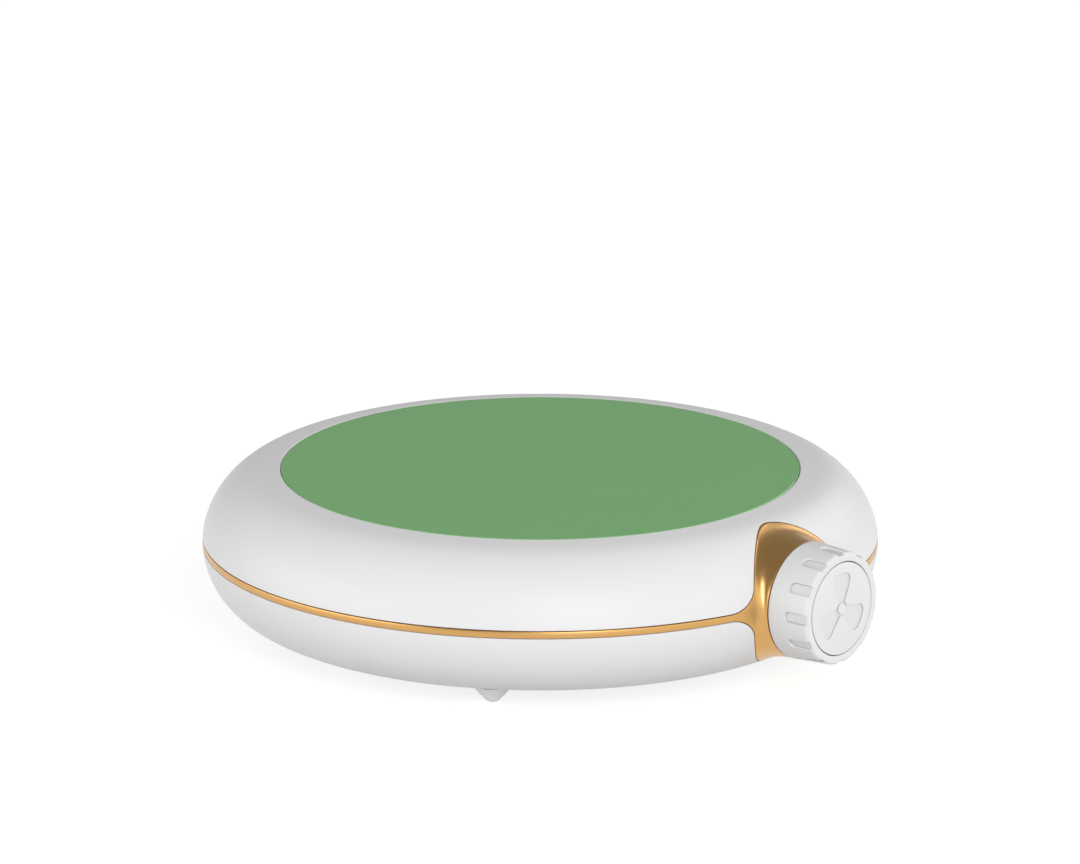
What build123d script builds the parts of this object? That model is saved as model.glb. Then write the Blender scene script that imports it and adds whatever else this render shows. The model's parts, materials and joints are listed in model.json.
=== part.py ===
from build123d import *
import math
import os

# Electric mug warmer with a magnetic stirrer: a round puck that a mug stands on, with a knob on its side.
# Frame: millimetres, +Z up, the origin on the table under the puck's centre, the knob towards -Y and the
# power inlet towards +Y. Heights "above the parting plane" are counted from where the two shells meet.

# ---- Casing
body_radius = 67.5  # widest radius, at the parting plane
base_depth = 14.9  # parting plane down to the flat base
base_edge = 14.4  # width of the rounded flank below the parting plane
base_roundness = 2.0  # exponent of its superellipse, where 2 is an ellipse
shoulder_height = 14.1  # parting plane up to the shoulder
shoulder_roundness = 1.8  # exponent of the upper flank's superellipse
rim_width = 3.7  # nearly flat rim between the shoulder and the plate
rim_rise = 0.55  # rise of that rim towards the plate
wall = 2.2
foot_height = 3.6  # table up to the flat base
seam = 0.06  # gap all along the line between the shells and the trim

# ---- Trim ring and knob collar
trim_half = 0.64  # half the height of the strip
trim_depth = 2.6
collar_inset = 0.5  # the collar's circle stops this far inside the shoulder
collar_fillet = 7.0  # the strip runs into the collar through this radius
collar_stand = 0.05  # the collar's front stands this far past the widest radius
collar_depth = 2.1  # the collar reaches this far in behind the skin above and below it
collar_lift = 0.1  # the collar's edge stands this far out of the casing
collar_lap = 0.5  # the strip and its fillets run this far into the collar
flare_slope = 0.1  # share of the flare that runs straight, where the rest is a parabola
collar_wall = 2.0  # front wall, which the control is clamped to
pocket_radius = 9.4
knob_overhang = 0.22  # the knob's back edge hides the collar's neck by this much

# ---- Locating rib of the lower shell, inside the trim ring
rib_width = 1.3
rib_height = 2.0  # above the parting plane
rib_drop = 2.6  # below it
rib_gap = 0.1

# ---- Warming plate and heater
plate_radius = 51.75
plate_thickness = 3.0
plate_gap = 0.12  # around the plate, in the shell's well
plate_bevel = 0.35
ledge_width = 4.3
ledge_thickness = 2.0
gasket_thickness = 0.5
spreader_radius = 42.0
spreader_thickness = 1.0
film_hole = 12.0
film_edge = 4.0  # the spreader stands out past the film by this much
film_thickness = 0.4
pad_clearance = 2.0  # around the turning magnet carrier
pad_edge = 2.0  # the spreader stands out past the pad by this much
pad_thickness = 1.2
bead_radius = 1.5  # temperature sensor
bead_drop = 2.3  # height of the bead under the film
bead_reach = 22.5  # behind the puck's axis
fuse_radius = 1.2
fuse_length = 9.0
fuse_reach = 28.0

# ---- Motor, magnet carrier and their fixings
motor_radius = 12.2
motor_height = 12.3
motor_edge = 0.6
nose_radius = 3.1  # bearing nose on top of the motor
nose_height = 1.0
cup_gap = 0.1
cup_wall = 1.8
cup_height = 6.0
motor_shaft_radius = 1.0
shaft_depth = 6.0  # length of the shaft inside the motor
running_gap = 0.03  # radial clearance of a shaft in its bearing
end_gap = 0.3  # between things that turn against each other, and at the end of a blind bore
bracket_thickness = 1.0
bracket_width = 12.0
bracket_reach = 21.0  # puck's axis to each bracket post
post_radius = 3.2
motor_screw_reach = 8.5
tab_size = (2.0, 1.8, 0.5)  # solder tabs on the motor's side
tab_side = 3.0
tab_lift = 1.2  # above the cup
carrier_radius = 16.0
carrier_thickness = 4.5
carrier_edge = 0.5
carrier_gap = 0.9  # under the heating film
carrier_clearance = 0.85  # above the heads of the motor's screws
hub_radius = 3.6
magnet_radius = 5.0
magnet_thickness = 3.0
magnet_reach = 9.0  # puck's axis to each magnet's centre

# ---- Rotary control and knob
housing_width = 12.0
housing_depth = 6.6
housing_edge = 1.0
bush_radius = 3.5
bush_stand = 2.6  # how far the bush stands out of the collar
bush_fit = 0.05
nut_width = 10.0
nut_height = 2.0
control_shaft_radius = 3.0
shaft_flat = 1.5  # depth of the D flat
pin_radius = 0.4
pin_length = 3.0
pin_pitch = 2.5
pin_drop = 4.0  # below the knob's axis
knob_radius = 11.62  # at the back
knob_taper = 0.48  # loss of radius towards the front
knob_length = 8.95
knob_gap = 0.25  # between the collar and the knob
knob_edge = 0.6  # fillet around its front
knob_wall = 1.6
knob_front_wall = 1.2  # behind the cap
knob_socket_wall = 1.6
flute_count = 12
flute_width = 2.1
flute_depth = 0.45  # at the knob's front
flute_start = 3.75  # from the knob's back to the flute's round end
cap_radius = 9.25
cap_thickness = 1.2
cap_gap = 0.1
blade_count = 3
blade_length = 7.1
blade_half_width = 3.45  # at the tip, before its corners are rounded
blade_root = 0.55  # half width at the knob's axis
blade_round = 1.5
blade_depth = 0.3
hub_radius = 1.1  # of the disc left standing between the blades
hub_groove = 0.4

# ---- Control board and power inlet, with places on the board counted sideways and from its front edge
board_lift = 3.8  # above the casing's floor
board_thickness = 1.6
board_half_width = 22.0
board_front = 27.0  # from the puck's axis
board_gap = 0.4  # between the board's round edge and the casing
board_screw_side = 3.5  # inside the board's straight sides
board_screw_front = 5.0
board_screw_edge = 5.4  # inside the board's round edge
standoff_radius = 2.5
heater_header = -12.0  # sideways places of the four headers
sensor_header = -4.0
motor_header = 4.0
control_header = 12.0
header_size = (7.0, 4.6, 6.0)
header_edge = 0.4
header_inset = 1.0  # behind the board's front edge
header_entry = 3.0  # height of the side entry above the board
chip_place = (-7.0, 11.0)
chip_size = (6.0, 5.0, 1.0)
choke_place = (9.5, 10.5)
choke_size = (7.0, 7.0, 4.0)
choke_round = 1.2
capacitor_places = [(-15.0, 10.0), (0.5, 10.0)]
capacitor_radius = 2.5
capacitor_height = 6.0
transistor_side = 8.0
transistor_reach = 5.0  # from the back of the inlet towards the board's front
transistor_size = (6.0, 5.0, 1.8)
inlet_width = 8.94
inlet_height = 3.2
inlet_length = 7.3
inlet_metal = 0.3
inlet_inset = 0.3  # the inlet's mouth behind the recess's floor
inlet_fit = 0.08
tongue_width = 6.7
tongue_thickness = 0.7
tongue_inset = 0.8  # the tongue's end behind the inlet's mouth
recess_width = 13.2
recess_height = 7.2
recess_depth = 3.6  # from the widest radius in to the recess's floor
recess_wall = 1.7

# ---- Screws, as shank radius, length under the head, head radius and head height
case_screw = (1.5, 16.0, 2.75, 1.9)
bracket_screw = (1.0, 6.0, 1.9, 1.3)
motor_screw = (0.9, 2.8, 1.6, 1.1)
board_screw = (1.0, 4.6, 1.9, 1.3)
screw_fit = 0.15  # around a shank in a clearance hole
head_fit = 0.2
cross_width = 0.3  # of the head's radius
cross_depth = 0.6  # of the head's height
case_screw_count = 4
boss_radius = 4.0
boss_split = 10.4  # height of the lower bosses above the base
boss_gap = 0.2
counterbore_depth = 3.0

# ---- Feet
foot_count = 3
foot_inset = 1.6  # inside the flat base's edge
foot_top_radius = 4.3
foot_sole_radius = 1.0
foot_nose = 1.5  # fillet between the sole and the cone
foot_stem_radius = 2.0
foot_head_radius = 2.9
foot_head_height = 1.0
foot_pad_radius = 4.8
foot_pad_height = 1.2

# ---- Shallow round recess of the base, for a label
label_radius = 24.0
label_depth = 0.35

# ---- Leads
lead_radius = 0.55
lead_pitch = 1.6
sensor_pitch = 1.4
lead_slack = 1.2  # sideways bow of the short heater leads
lead_run = 4.5  # straight run out of a plug, a tab or a pin
lead_bend = 0.45  # share of a run that a bend may take up at each of its ends

STAND = (Align.CENTER, Align.CENTER, Align.MIN)
MARGIN = 1.0  # how far a cutter runs past what it cuts
OVERRUN = 0.06  # the same, as a share of a curve or of a half turn

# ---- Sizes that follow
parting_z = foot_height + base_depth
base_flat_radius = body_radius - base_edge
floor_z = foot_height + wall
seat_radius = plate_radius + plate_gap
shoulder_radius = seat_radius + rim_width
plate_top = parting_z + shoulder_height + rim_rise
plate_bottom = plate_top - plate_thickness
ledge_top = plate_bottom - gasket_thickness
ledge_bottom = ledge_top - ledge_thickness
ledge_radius = seat_radius - ledge_width
well_radius = seat_radius + wall  # outside of the wall around the plate
trim_inner = body_radius - trim_depth
rib_outer = trim_inner - rib_gap

collar_radius = min(shoulder_height, base_depth) - collar_inset
collar_front = body_radius + collar_stand
neck_radius = knob_radius - knob_overhang
housing_front = collar_front - collar_wall
housing_back = housing_front - housing_depth
bush_end = collar_front + bush_stand

knob_back = collar_front + knob_gap
knob_front = knob_back + knob_length
cap_back = knob_front - cap_thickness
knob_inside = cap_back - knob_front_wall
knob_front_radius = knob_radius - knob_taper
control_shaft_end = knob_inside - end_gap

spreader_bottom = plate_bottom - spreader_thickness
film_bottom = spreader_bottom - film_thickness
film_radius = spreader_radius - film_edge
pad_bottom = film_bottom - pad_thickness
carrier_top = film_bottom - carrier_gap
carrier_bottom = carrier_top - carrier_thickness
bracket_top = carrier_bottom - carrier_clearance - motor_screw[3]
motor_top = bracket_top - bracket_thickness
motor_bottom = motor_top - motor_height
nose_top = motor_top + nose_height
hub_bottom = max(nose_top, bracket_top) + end_gap
shaft_bottom = motor_top - shaft_depth
motor_shaft_top = carrier_top - MARGIN
cup_inner = motor_radius + cup_gap
tab_z = floor_z + cup_height + tab_lift

board_bottom = floor_z + board_lift
board_top = board_bottom + board_thickness
inlet_z = board_top + inlet_height / 2
recess_floor = body_radius - recess_depth
inlet_mouth = recess_floor - inlet_inset
inlet_back = inlet_mouth - inlet_length
header_front = board_front + header_inset
header_top = board_top + header_size[2]
header_middle = header_front + header_size[1] / 2
entry_z = board_top + header_entry

boss_circle = well_radius - boss_radius
boss_top = foot_height + boss_split
screw_seat = foot_height + counterbore_depth
foot_circle = base_flat_radius - foot_inset
foot_pad_top = floor_z + foot_pad_height

# Places about the knob's axis: X stays, Y is up, Z is the reach out from the puck's axis.
KNOB_AXIS = Location((0, 0, parting_z), (90, 0, 0))


def flank_radius(height, inset=0.0):
    """Radius of the casing's skin, or of a surface inset from it, at a height above the parting plane."""
    inner, rise, roundness = shoulder_radius, shoulder_height, shoulder_roundness
    if height < 0:
        inner, rise, roundness = base_flat_radius, base_depth, base_roundness
    share = min(abs(height) / (rise - inset), 1.0)
    return inner + (body_radius - inset - inner) * (1 - share**roundness) ** (1 / roundness)


# ---- Sizes that follow from the casing's skin
collar_back = min(flank_radius(collar_radius), flank_radius(-collar_radius)) - collar_depth
board_edge = flank_radius(board_bottom - parting_z, wall) - board_gap
screw_side = board_half_width - board_screw_side
screw_back = math.sqrt((board_edge - board_screw_edge) ** 2 - screw_side**2)
screw_reaches = (board_front + board_screw_front, screw_back)
board_screw_places = [(x, y) for x in (-screw_side, screw_side) for y in screw_reaches]


def rod(radius, low, high, place=(0, 0)):
    """Upright cylinder between two heights."""
    return Pos(place[0], place[1], low) * Cylinder(radius, high - low, align=STAND)


def ring(inner, outer, low, high):
    """Upright ring about the puck's axis between two heights."""
    return rod(outer, low, high) - rod(inner, low - MARGIN, high + MARGIN)


def block(size, place, low):
    """Block that stands at a place on a level."""
    return Pos(place[0], place[1], low) * Box(*size, align=STAND)


def around(count, radius, first):
    """Places evenly spaced on a circle about the puck's axis, from a first direction in degrees."""
    turns = [math.radians(first + 360 / count * i) for i in range(count)]
    return [(radius * math.cos(turn), radius * math.sin(turn)) for turn in turns]


def group(solids):
    """Separate solids as the one content of a node."""
    return Compound(children=list(solids))


def flank(inner, outer, rise, roundness, steps=8):
    """Radius and height of points up a superellipse's quarter, from its widest place to its flat end."""
    points = []
    for step in range(steps + 1):
        turn = math.pi / 2 * step / steps
        radius = inner + (outer - inner) * math.cos(turn) ** (2 / roundness)
        points.append((radius, rise * math.sin(turn) ** (2 / roundness)))
    return points


def turned(points, end, end_direction, way):
    """Solid of revolution on the parting plane: a flank curve, then a cover across to the puck's axis."""
    path = [(radius, way * height) for radius, height in points] + [(end[0], way * end[1])]
    start_direction = (0, way)
    curve = Spline(*path, tangents=[start_direction, (end_direction[0], way * end_direction[1])])
    centre_end = (0, way * end[1])
    outline = curve + Polyline(path[-1], centre_end, (0, 0), path[0])
    return Pos(0, 0, parting_z) * revolve(Plane.XZ * make_face(outline), Axis.Z)


def upper_body(inset=0.0):
    """Solid inside the upper skin, or inside a surface inset from it."""
    outer = body_radius - inset
    points = flank(shoulder_radius, outer, shoulder_height - inset, shoulder_roundness)
    rim = (seat_radius, shoulder_height + rim_rise - inset)
    return turned(points[:-1], rim, (-rim_width, rim_rise), 1)


def lower_body(inset=0.0):
    """Solid inside the lower skin, or inside a surface inset from it."""
    points = flank(base_flat_radius, body_radius - inset, base_depth - inset, base_roundness)
    return turned(points[:-1], points[-1], (-1, 0), -1)


def band(half):
    """Slab at the parting plane, wider than the casing."""
    return Pos(0, 0, parting_z) * Cylinder(body_radius + MARGIN, 2 * half)


def plate_well(gap):
    """Room of the plate and the wall around it, widened by a gap."""
    return rod(well_radius + gap, ledge_bottom - gap, plate_top + MARGIN)


def collar_prism(gap):
    """The collar's circle run into the strip by concave fillets, seen along the knob's axis, made solid.

    It starts behind the casing's skin and stays outside the plate's well. The gap widens it, so that it
    can cut its own room.
    """
    circle = Circle(collar_radius + gap)
    strip = Rectangle(2 * body_radius, 2 * (trim_half + gap))
    cross = circle + strip
    corners = [v for v in cross.vertices() if abs(v.X) < collar_radius + gap + MARGIN]
    outline = fillet(corners, collar_fillet - gap)
    back = collar_back - gap
    prism = KNOB_AXIS * Pos(0, 0, back) * extrude(outline, body_radius + MARGIN - back)
    return prism - plate_well(seam - gap)


def knob_rod(radius, back, front):
    """Cylinder on the knob's axis between two reaches."""
    return KNOB_AXIS * Pos(0, 0, back) * Cylinder(radius, front - back, align=STAND)


def flare_air(rings=8, steps=18):
    """Air in front of the collar's concave flare, over the half turn about the knob's axis towards +X.

    The flare runs from the collar's edge on the casing's skin, which lies nearer or further out from
    direction to direction, in and forwards to the round neck behind the knob.
    """
    rows = []
    for count in range(rings + 1):
        share = -OVERRUN + (1 + 2 * OVERRUN) * count / rings
        rest = 1 - share
        width = rest * (flare_slope + (1 - flare_slope) * rest)
        radius = neck_radius + (collar_radius - neck_radius) * width
        row = []
        for step in range(steps + 1):
            turn = math.pi * (0.5 + OVERRUN) * (2 * step / steps - 1)
            side = collar_radius * math.cos(turn)
            edge = math.sqrt(flank_radius(collar_radius * math.sin(turn)) ** 2 - side**2) + collar_lift
            reach = edge + share * (collar_front - edge)
            row.append((radius * math.cos(turn), radius * math.sin(turn), reach))
        rows.append(row)
    face = Face.make_surface_from_array_of_points(rows, tol=0.005)
    return KNOB_AXIS * extrude(face, collar_front - collar_back, dir=(0, 0, 1))


def flared_collar():
    """Collar without its bores: one half, cut by the flare, and its mirror image."""
    half = knob_rod(collar_radius, collar_back, collar_front)
    half &= Box(collar_radius, 2 * collar_front, 2 * plate_top, align=(Align.MIN, Align.CENTER, Align.CENTER))
    half -= flare_air()
    return half + mirror(half, about=Plane.YZ)


def screw(kind):
    """Screw with its seat at the origin: the head above it, with a cross recess, and the shank below."""
    shank, length, head, height = kind
    body = rod(shank, -length, 0) + fillet(rod(head, 0, height).edges().sort_by(Axis.Z)[-1], height / 3)
    width = 2 * head * cross_width
    depth = height * cross_depth
    cross = Box(4 * width, width, 2 * depth) + Box(width, 4 * width, 2 * depth)
    return body - Pos(0, 0, height) * cross


def lead(points, radius=lead_radius):
    """Insulated wire along straight runs joined by tangent arcs."""
    corners = []
    for before, at, after in zip(points, points[1:], points[2:]):
        run_in = Vector(*at) - Vector(*before)
        run_out = Vector(*after) - Vector(*at)
        half_turn = math.radians(run_in.get_angle(run_out)) / 2
        corners.append(lead_bend * min(run_in.length, run_out.length) / math.tan(half_turn))
    path = FilletPolyline(*points, radius=corners) if corners else Line(*points)
    section = Plane(path @ 0, z_dir=path % 0) * Circle(radius)
    return sweep(section, path)


# ---- Casing shells


def upper_shell():
    """Upper casing: rounded skin, a well and a ledge for the plate, and bosses for the case screws."""
    well_block = rod(well_radius, ledge_bottom, plate_top)
    shell = upper_body() - (upper_body(wall) - well_block)
    shell -= rod(seat_radius, ledge_top, plate_top + MARGIN)
    shell -= rod(ledge_radius, ledge_bottom - MARGIN, plate_top)
    for place in around(case_screw_count, boss_circle, 45):
        shell += rod(boss_radius, boss_top + boss_gap, ledge_bottom, place)
        shell -= rod(case_screw[0], boss_top, screw_seat + case_screw[1] + end_gap, place)
    shell -= ring(rib_outer, body_radius + MARGIN, parting_z - MARGIN, parting_z + trim_half + seam)
    return shell - collar_prism(seam)


def inlet_slot(width, height, near, far):
    """Slot with round ends, seen along Y at the inlet's height, between two reaches along +Y."""
    face = Plane(origin=(0, near, inlet_z), x_dir=(1, 0, 0), z_dir=(0, 1, 0)) * SlotOverall(width, height)
    return extrude(face, far - near, dir=(0, 1, 0))


def lower_shell():
    """Base pan: floor and flank, the locating rib, and seats for all that stands on the floor."""
    shell = lower_body() - lower_body(wall)
    wall_top = parting_z - trim_half - seam
    rib = ring(rib_outer - rib_width, rib_outer, parting_z - rib_drop, parting_z + rib_height)
    rib += ring(rib_outer - rib_width, body_radius - wall / 2, parting_z - rib_drop, wall_top)
    seats = ring(cup_inner, cup_inner + cup_wall, foot_height, floor_z + cup_height)
    for side in (-1, 1):
        seats += rod(post_radius, foot_height, motor_top, (side * bracket_reach, 0))
    for place in board_screw_places:
        seats += rod(standoff_radius, foot_height, board_bottom, place)
    for place in around(case_screw_count, boss_circle, 45):
        seats += rod(boss_radius, foot_height, boss_top, place)
    pad_width = recess_width + 2 * wall
    pad_height = recess_height + 2 * wall
    pad = Pos(0, recess_floor - recess_wall, inlet_z) * Box(
        pad_width, body_radius, pad_height, align=(Align.CENTER, Align.MIN, Align.CENTER)
    )
    shell += rib + ((seats + pad) & lower_body(wall / 2))
    for place in around(foot_count, foot_circle, 90):
        shell += rod(foot_pad_radius, foot_height, foot_pad_top, place)
    shell -= ring(rib_outer, body_radius + MARGIN, wall_top, plate_top)
    for side in (-1, 1):
        low = bracket_top - bracket_screw[1] - end_gap
        shell -= rod(bracket_screw[0], low, plate_top, (side * bracket_reach, 0))
    for place in board_screw_places:
        shell -= rod(board_screw[0], board_top - board_screw[1] - end_gap, plate_top, place)
    for place in around(case_screw_count, boss_circle, 45):
        shell -= rod(case_screw[0] + screw_fit, 0, plate_top, place)
        shell -= rod(case_screw[2] + head_fit, 0, screw_seat, place)
    for place in around(foot_count, foot_circle, 90):
        shell -= rod(foot_stem_radius, 0, floor_z + foot_pad_height + MARGIN, place)
    shell -= rod(label_radius, 0, foot_height + label_depth)
    shell -= inlet_slot(recess_width, recess_height, recess_floor, body_radius + MARGIN)
    shell -= inlet_slot(inlet_width + 2 * inlet_fit, inlet_height + 2 * inlet_fit, inlet_back, body_radius)
    return shell - collar_prism(seam)


def trim_ring():
    """Strip around the parting plane and the flared collar that carries the control, in one piece."""
    skin = upper_body() + lower_body()
    strip = (band(trim_half) + collar_prism(0)) & skin
    strip -= rod(trim_inner, 0, plate_top)
    strip -= knob_rod(collar_radius - collar_lap, 0, body_radius + MARGIN)
    collar = flared_collar() - plate_well(seam)
    collar -= knob_rod(pocket_radius, collar_back - MARGIN, housing_front)
    collar -= knob_rod(bush_radius + bush_fit, collar_back, collar_front + MARGIN)
    return strip + collar


def foot_solids():
    """Push-in rubber feet: a cone with a small flat sole, a stem through the floor and a head above it."""
    feet = []
    for place in around(foot_count, foot_circle, 90):
        cone = Pos(place[0], place[1], 0) * Cone(foot_sole_radius, foot_top_radius, foot_height, align=STAND)
        cone = fillet(cone.edges().sort_by(Axis.Z)[0], foot_nose)
        stem = rod(foot_stem_radius, foot_height, foot_pad_top, place)
        head = rod(foot_head_radius, foot_pad_top, foot_pad_top + foot_head_height, place)
        feet.append(cone + stem + head)
    return feet


# ---- Plate and heater


def glass_plate():
    plate = rod(plate_radius, plate_bottom, plate_top)
    return chamfer(plate.edges().sort_by(Axis.Z)[-1], plate_bevel)


def insulation_pad():
    """Fibre ring under the film, with room for the sensor, the fuse and the heater's leads."""
    pad = ring(carrier_radius + pad_clearance, spreader_radius - pad_edge, pad_bottom, film_bottom)
    pad -= rod(bead_radius + end_gap, pad_bottom - MARGIN, plate_top, (sensor_header, bead_reach))
    slot = (2 * (fuse_radius + end_gap), fuse_length + 2 * end_gap, pad_thickness)
    pad -= block(slot, (-fuse_reach, 0), pad_bottom)
    for place in heater_lead_places():
        pad -= rod(lead_radius + end_gap, pad_bottom - MARGIN, plate_top, place)
    return pad


def thermistor():
    """Sensor bead on the film."""
    bead = rod(bead_radius, film_bottom - bead_drop, film_bottom, (sensor_header, bead_reach))
    return fillet(bead.edges().sort_by(Axis.Z)[0], bead_radius / 2)


def thermal_fuse():
    fuse = Pos(-fuse_reach, 0, film_bottom - fuse_radius) * Rot(90, 0, 0) * Cylinder(fuse_radius, fuse_length)
    return chamfer(fuse.edges().filter_by(GeomType.CIRCLE), fuse_radius / 4)


# ---- Motor and stirrer


def motor_body():
    """Motor can with its bearing nose, the bore that the shaft turns in and two tapped holes."""
    can = rod(motor_radius, motor_bottom, motor_top)
    can = fillet(can.edges().filter_by(GeomType.CIRCLE), motor_edge)
    can += rod(nose_radius, motor_top - MARGIN, nose_top)
    can -= rod(motor_shaft_radius + running_gap, shaft_bottom - end_gap, nose_top + MARGIN)
    for side in (-1, 1):
        low = bracket_top - motor_screw[1] - end_gap
        can -= rod(motor_screw[0], low, plate_top, (0, side * motor_screw_reach))
    return can


def motor_tabs():
    """Solder tabs on the motor's side, above the cup."""
    back = math.sqrt(motor_radius**2 - tab_side**2)
    tabs = []
    for x in (-tab_side, tab_side):
        tabs.append(block(tab_size, (x, back + tab_size[1] / 2), tab_z) - rod(motor_radius, 0, plate_top))
    return tabs


def motor_bracket():
    """Plate across the motor's top, on the two posts."""
    face = SlotOverall(2 * (bracket_reach + post_radius), bracket_width) + Circle(motor_radius)
    face -= Circle(nose_radius + end_gap)
    for side in (-1, 1):
        face -= Pos(side * bracket_reach, 0) * Circle(bracket_screw[0] + screw_fit)
        face -= Pos(0, side * motor_screw_reach) * Circle(motor_screw[0] + screw_fit)
    return Pos(0, 0, motor_top) * extrude(face, bracket_thickness)


def magnet_places():
    return [(-magnet_reach, 0), (magnet_reach, 0)]


def magnet_carrier():
    """Disc pressed on the motor's shaft, with a pocket for each magnet."""
    disc = rod(carrier_radius, carrier_bottom, carrier_top)
    disc = fillet(disc.edges().filter_by(GeomType.CIRCLE), carrier_edge)
    carrier = disc + rod(hub_radius, hub_bottom, carrier_bottom)
    carrier -= rod(motor_shaft_radius, hub_bottom - MARGIN, motor_shaft_top)
    for place in magnet_places():
        carrier -= rod(magnet_radius, carrier_top - magnet_thickness, carrier_top + MARGIN, place)
    return carrier


# ---- Rotary control and knob


def control_housing():
    """Square body of the control, behind the collar's front wall, hollow where its shaft turns."""
    body = KNOB_AXIS * Pos(0, 0, housing_back) * Box(housing_width, housing_width, housing_depth, align=STAND)
    body = chamfer(body.edges().filter_by(Axis.Y), housing_edge)
    bore = control_shaft_radius + running_gap
    return body - knob_rod(bore, housing_back + housing_depth / 3, collar_front)


def control_bush():
    bush = knob_rod(bush_radius, housing_front, bush_end)
    return bush - knob_rod(control_shaft_radius + running_gap, housing_back, bush_end + MARGIN)


def control_nut():
    nut = extrude(RegularPolygon(nut_width / 2, 6, major_radius=False) - Circle(bush_radius), nut_height)
    return KNOB_AXIS * Pos(0, 0, collar_front) * nut


def control_pins():
    """Pins on the back of the control, side by side."""
    pins = []
    for lane in (-1, 0, 1):
        start = Pos(lane * pin_pitch, -pin_drop, housing_back - pin_length)
        pins.append(KNOB_AXIS * start * Cylinder(pin_radius, pin_length, align=STAND))
    return pins


def d_section(radius):
    """Round section with one flat, on top."""
    cut = Pos(0, radius - shaft_flat / 2) * Rectangle(2 * radius, shaft_flat)
    return Circle(radius) - cut


def control_shaft():
    """Shaft of the control: round in its bearing, D-shaped in the knob."""
    start = housing_back + housing_depth / 3 + end_gap
    flat_start = bush_end + end_gap
    round_part = knob_rod(control_shaft_radius, start, flat_start)
    flat_part = extrude(d_section(control_shaft_radius), control_shaft_end - flat_start)
    return round_part + KNOB_AXIS * Pos(0, 0, flat_start) * flat_part


def knob():
    """Hollow knob: tapered side with grip flutes, a seat for the cap and a socket for the D shaft."""
    side = Pos(0, 0, knob_back) * Cone(knob_radius, knob_front_radius, knob_length, align=STAND)
    side = fillet(side.edges().sort_by(Axis.Z)[-1], knob_edge)
    hollow_radius = knob_front_radius - flute_depth - knob_wall
    hollow_length = knob_inside - knob_back + MARGIN
    hollow = Pos(0, 0, knob_back - MARGIN) * Cylinder(hollow_radius, hollow_length, align=STAND)
    seat = Pos(0, 0, cap_back) * Cylinder(cap_radius + cap_gap, cap_thickness + MARGIN, align=STAND)
    socket_radius = control_shaft_radius + knob_socket_wall
    socket_back = bush_end + end_gap
    socket = Pos(0, 0, socket_back) * Cylinder(socket_radius, knob_inside - socket_back, align=STAND)
    bore = Pos(0, 0, socket_back) * extrude(d_section(control_shaft_radius), knob_inside - socket_back)
    body = side - hollow - seat + (socket - bore)
    floor_radius = knob_front_radius - flute_depth
    round_end = knob_back + flute_start + flute_width / 2
    groove = Pos(floor_radius, 0, round_end) * Box(
        knob_radius, flute_width, knob_length, align=(Align.MIN, Align.CENTER, Align.MIN)
    )
    end = Cylinder(flute_width / 2, knob_radius, align=STAND)
    end = Pos(floor_radius, 0, round_end) * Rot(0, 90, 0) * end
    for count in range(flute_count):
        body -= Rot(0, 0, 360 / flute_count * count) * (groove + end)
    return KNOB_AXIS * body


def knob_cap():
    """Disc in the knob's front with a propeller of equal blades sunk into its face."""
    disc = Pos(0, 0, cap_back) * Cylinder(cap_radius, cap_thickness, align=STAND)
    corners = [(0, -blade_root), (blade_length, -blade_half_width)]
    corners += [(x, -y) for x, y in reversed(corners)]
    blade = Polygon(*corners, align=None) & Rot(0, 0, 180) * Circle(blade_length)
    blade = fillet(blade.vertices().group_by(Axis.X)[-1], blade_round)
    propeller = Circle(hub_radius + hub_groove)
    for count in range(blade_count):
        propeller += Rot(0, 0, 90 + 360 / blade_count * count) * blade
    propeller -= Circle(hub_radius)
    sunk = extrude(propeller, blade_depth + MARGIN)
    return KNOB_AXIS * (disc - Pos(0, 0, knob_front - blade_depth) * sunk)


# ---- Control board and power inlet


def control_board():
    depth = board_edge - board_front
    outline = Pos(0, board_front + depth / 2) * Rectangle(2 * board_half_width, depth) & Circle(board_edge)
    for place in board_screw_places:
        outline -= Pos(*place) * Circle(board_screw[0] + screw_fit)
    return Pos(0, 0, board_bottom) * extrude(outline, board_thickness)


def usb_socket():
    """Metal shell of the inlet, open at its mouth."""
    outer = inlet_slot(inlet_width, inlet_height, inlet_back, inlet_mouth)
    inside = (inlet_width - 2 * inlet_metal, inlet_height - 2 * inlet_metal)
    return outer - inlet_slot(*inside, inlet_back + inlet_metal, inlet_mouth + MARGIN)


def usb_tongue():
    """Contact tongue on the inlet's back wall."""
    length = inlet_length - inlet_metal - tongue_inset
    tongue = Pos(0, inlet_back + inlet_metal, inlet_z) * Box(
        tongue_width, length, tongue_thickness, align=(Align.CENTER, Align.MIN, Align.CENTER)
    )
    return chamfer(tongue.edges().sort_by(Axis.Y)[-4:], tongue_thickness / 4)


def on_board(place):
    """Place on the board, counted sideways and from its front edge, as counted from the puck's axis."""
    return (place[0], board_front + place[1])


def power_choke():
    choke = block(choke_size, on_board(choke_place), board_top)
    return fillet(choke.edges().filter_by(Axis.Z), choke_round)


def capacitor(place):
    body = rod(capacitor_radius, board_top, board_top + capacitor_height, on_board(place))
    return fillet(body.edges().sort_by(Axis.Z)[-1], capacitor_radius / 6)


def power_transistors():
    """Two flat parts beside the inlet."""
    reach = inlet_back - transistor_reach
    return [block(transistor_size, (x, reach), board_top) for x in (-transistor_side, transistor_side)]


def board_headers():
    """Plugs of the leads, side by side, with softened edges."""
    headers = []
    for side in (heater_header, sensor_header, motor_header, control_header):
        header = block(header_size, (side, header_middle), board_top)
        headers.append(chamfer(header.edges().group_by(Axis.Z)[-1], header_edge))
    return headers


# ---- Leads


def heater_lead_places():
    """Where the heater's two leads leave the film, straight above their header."""
    return [(heater_header + side * lead_pitch, header_middle) for side in (-1, 1)]


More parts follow.
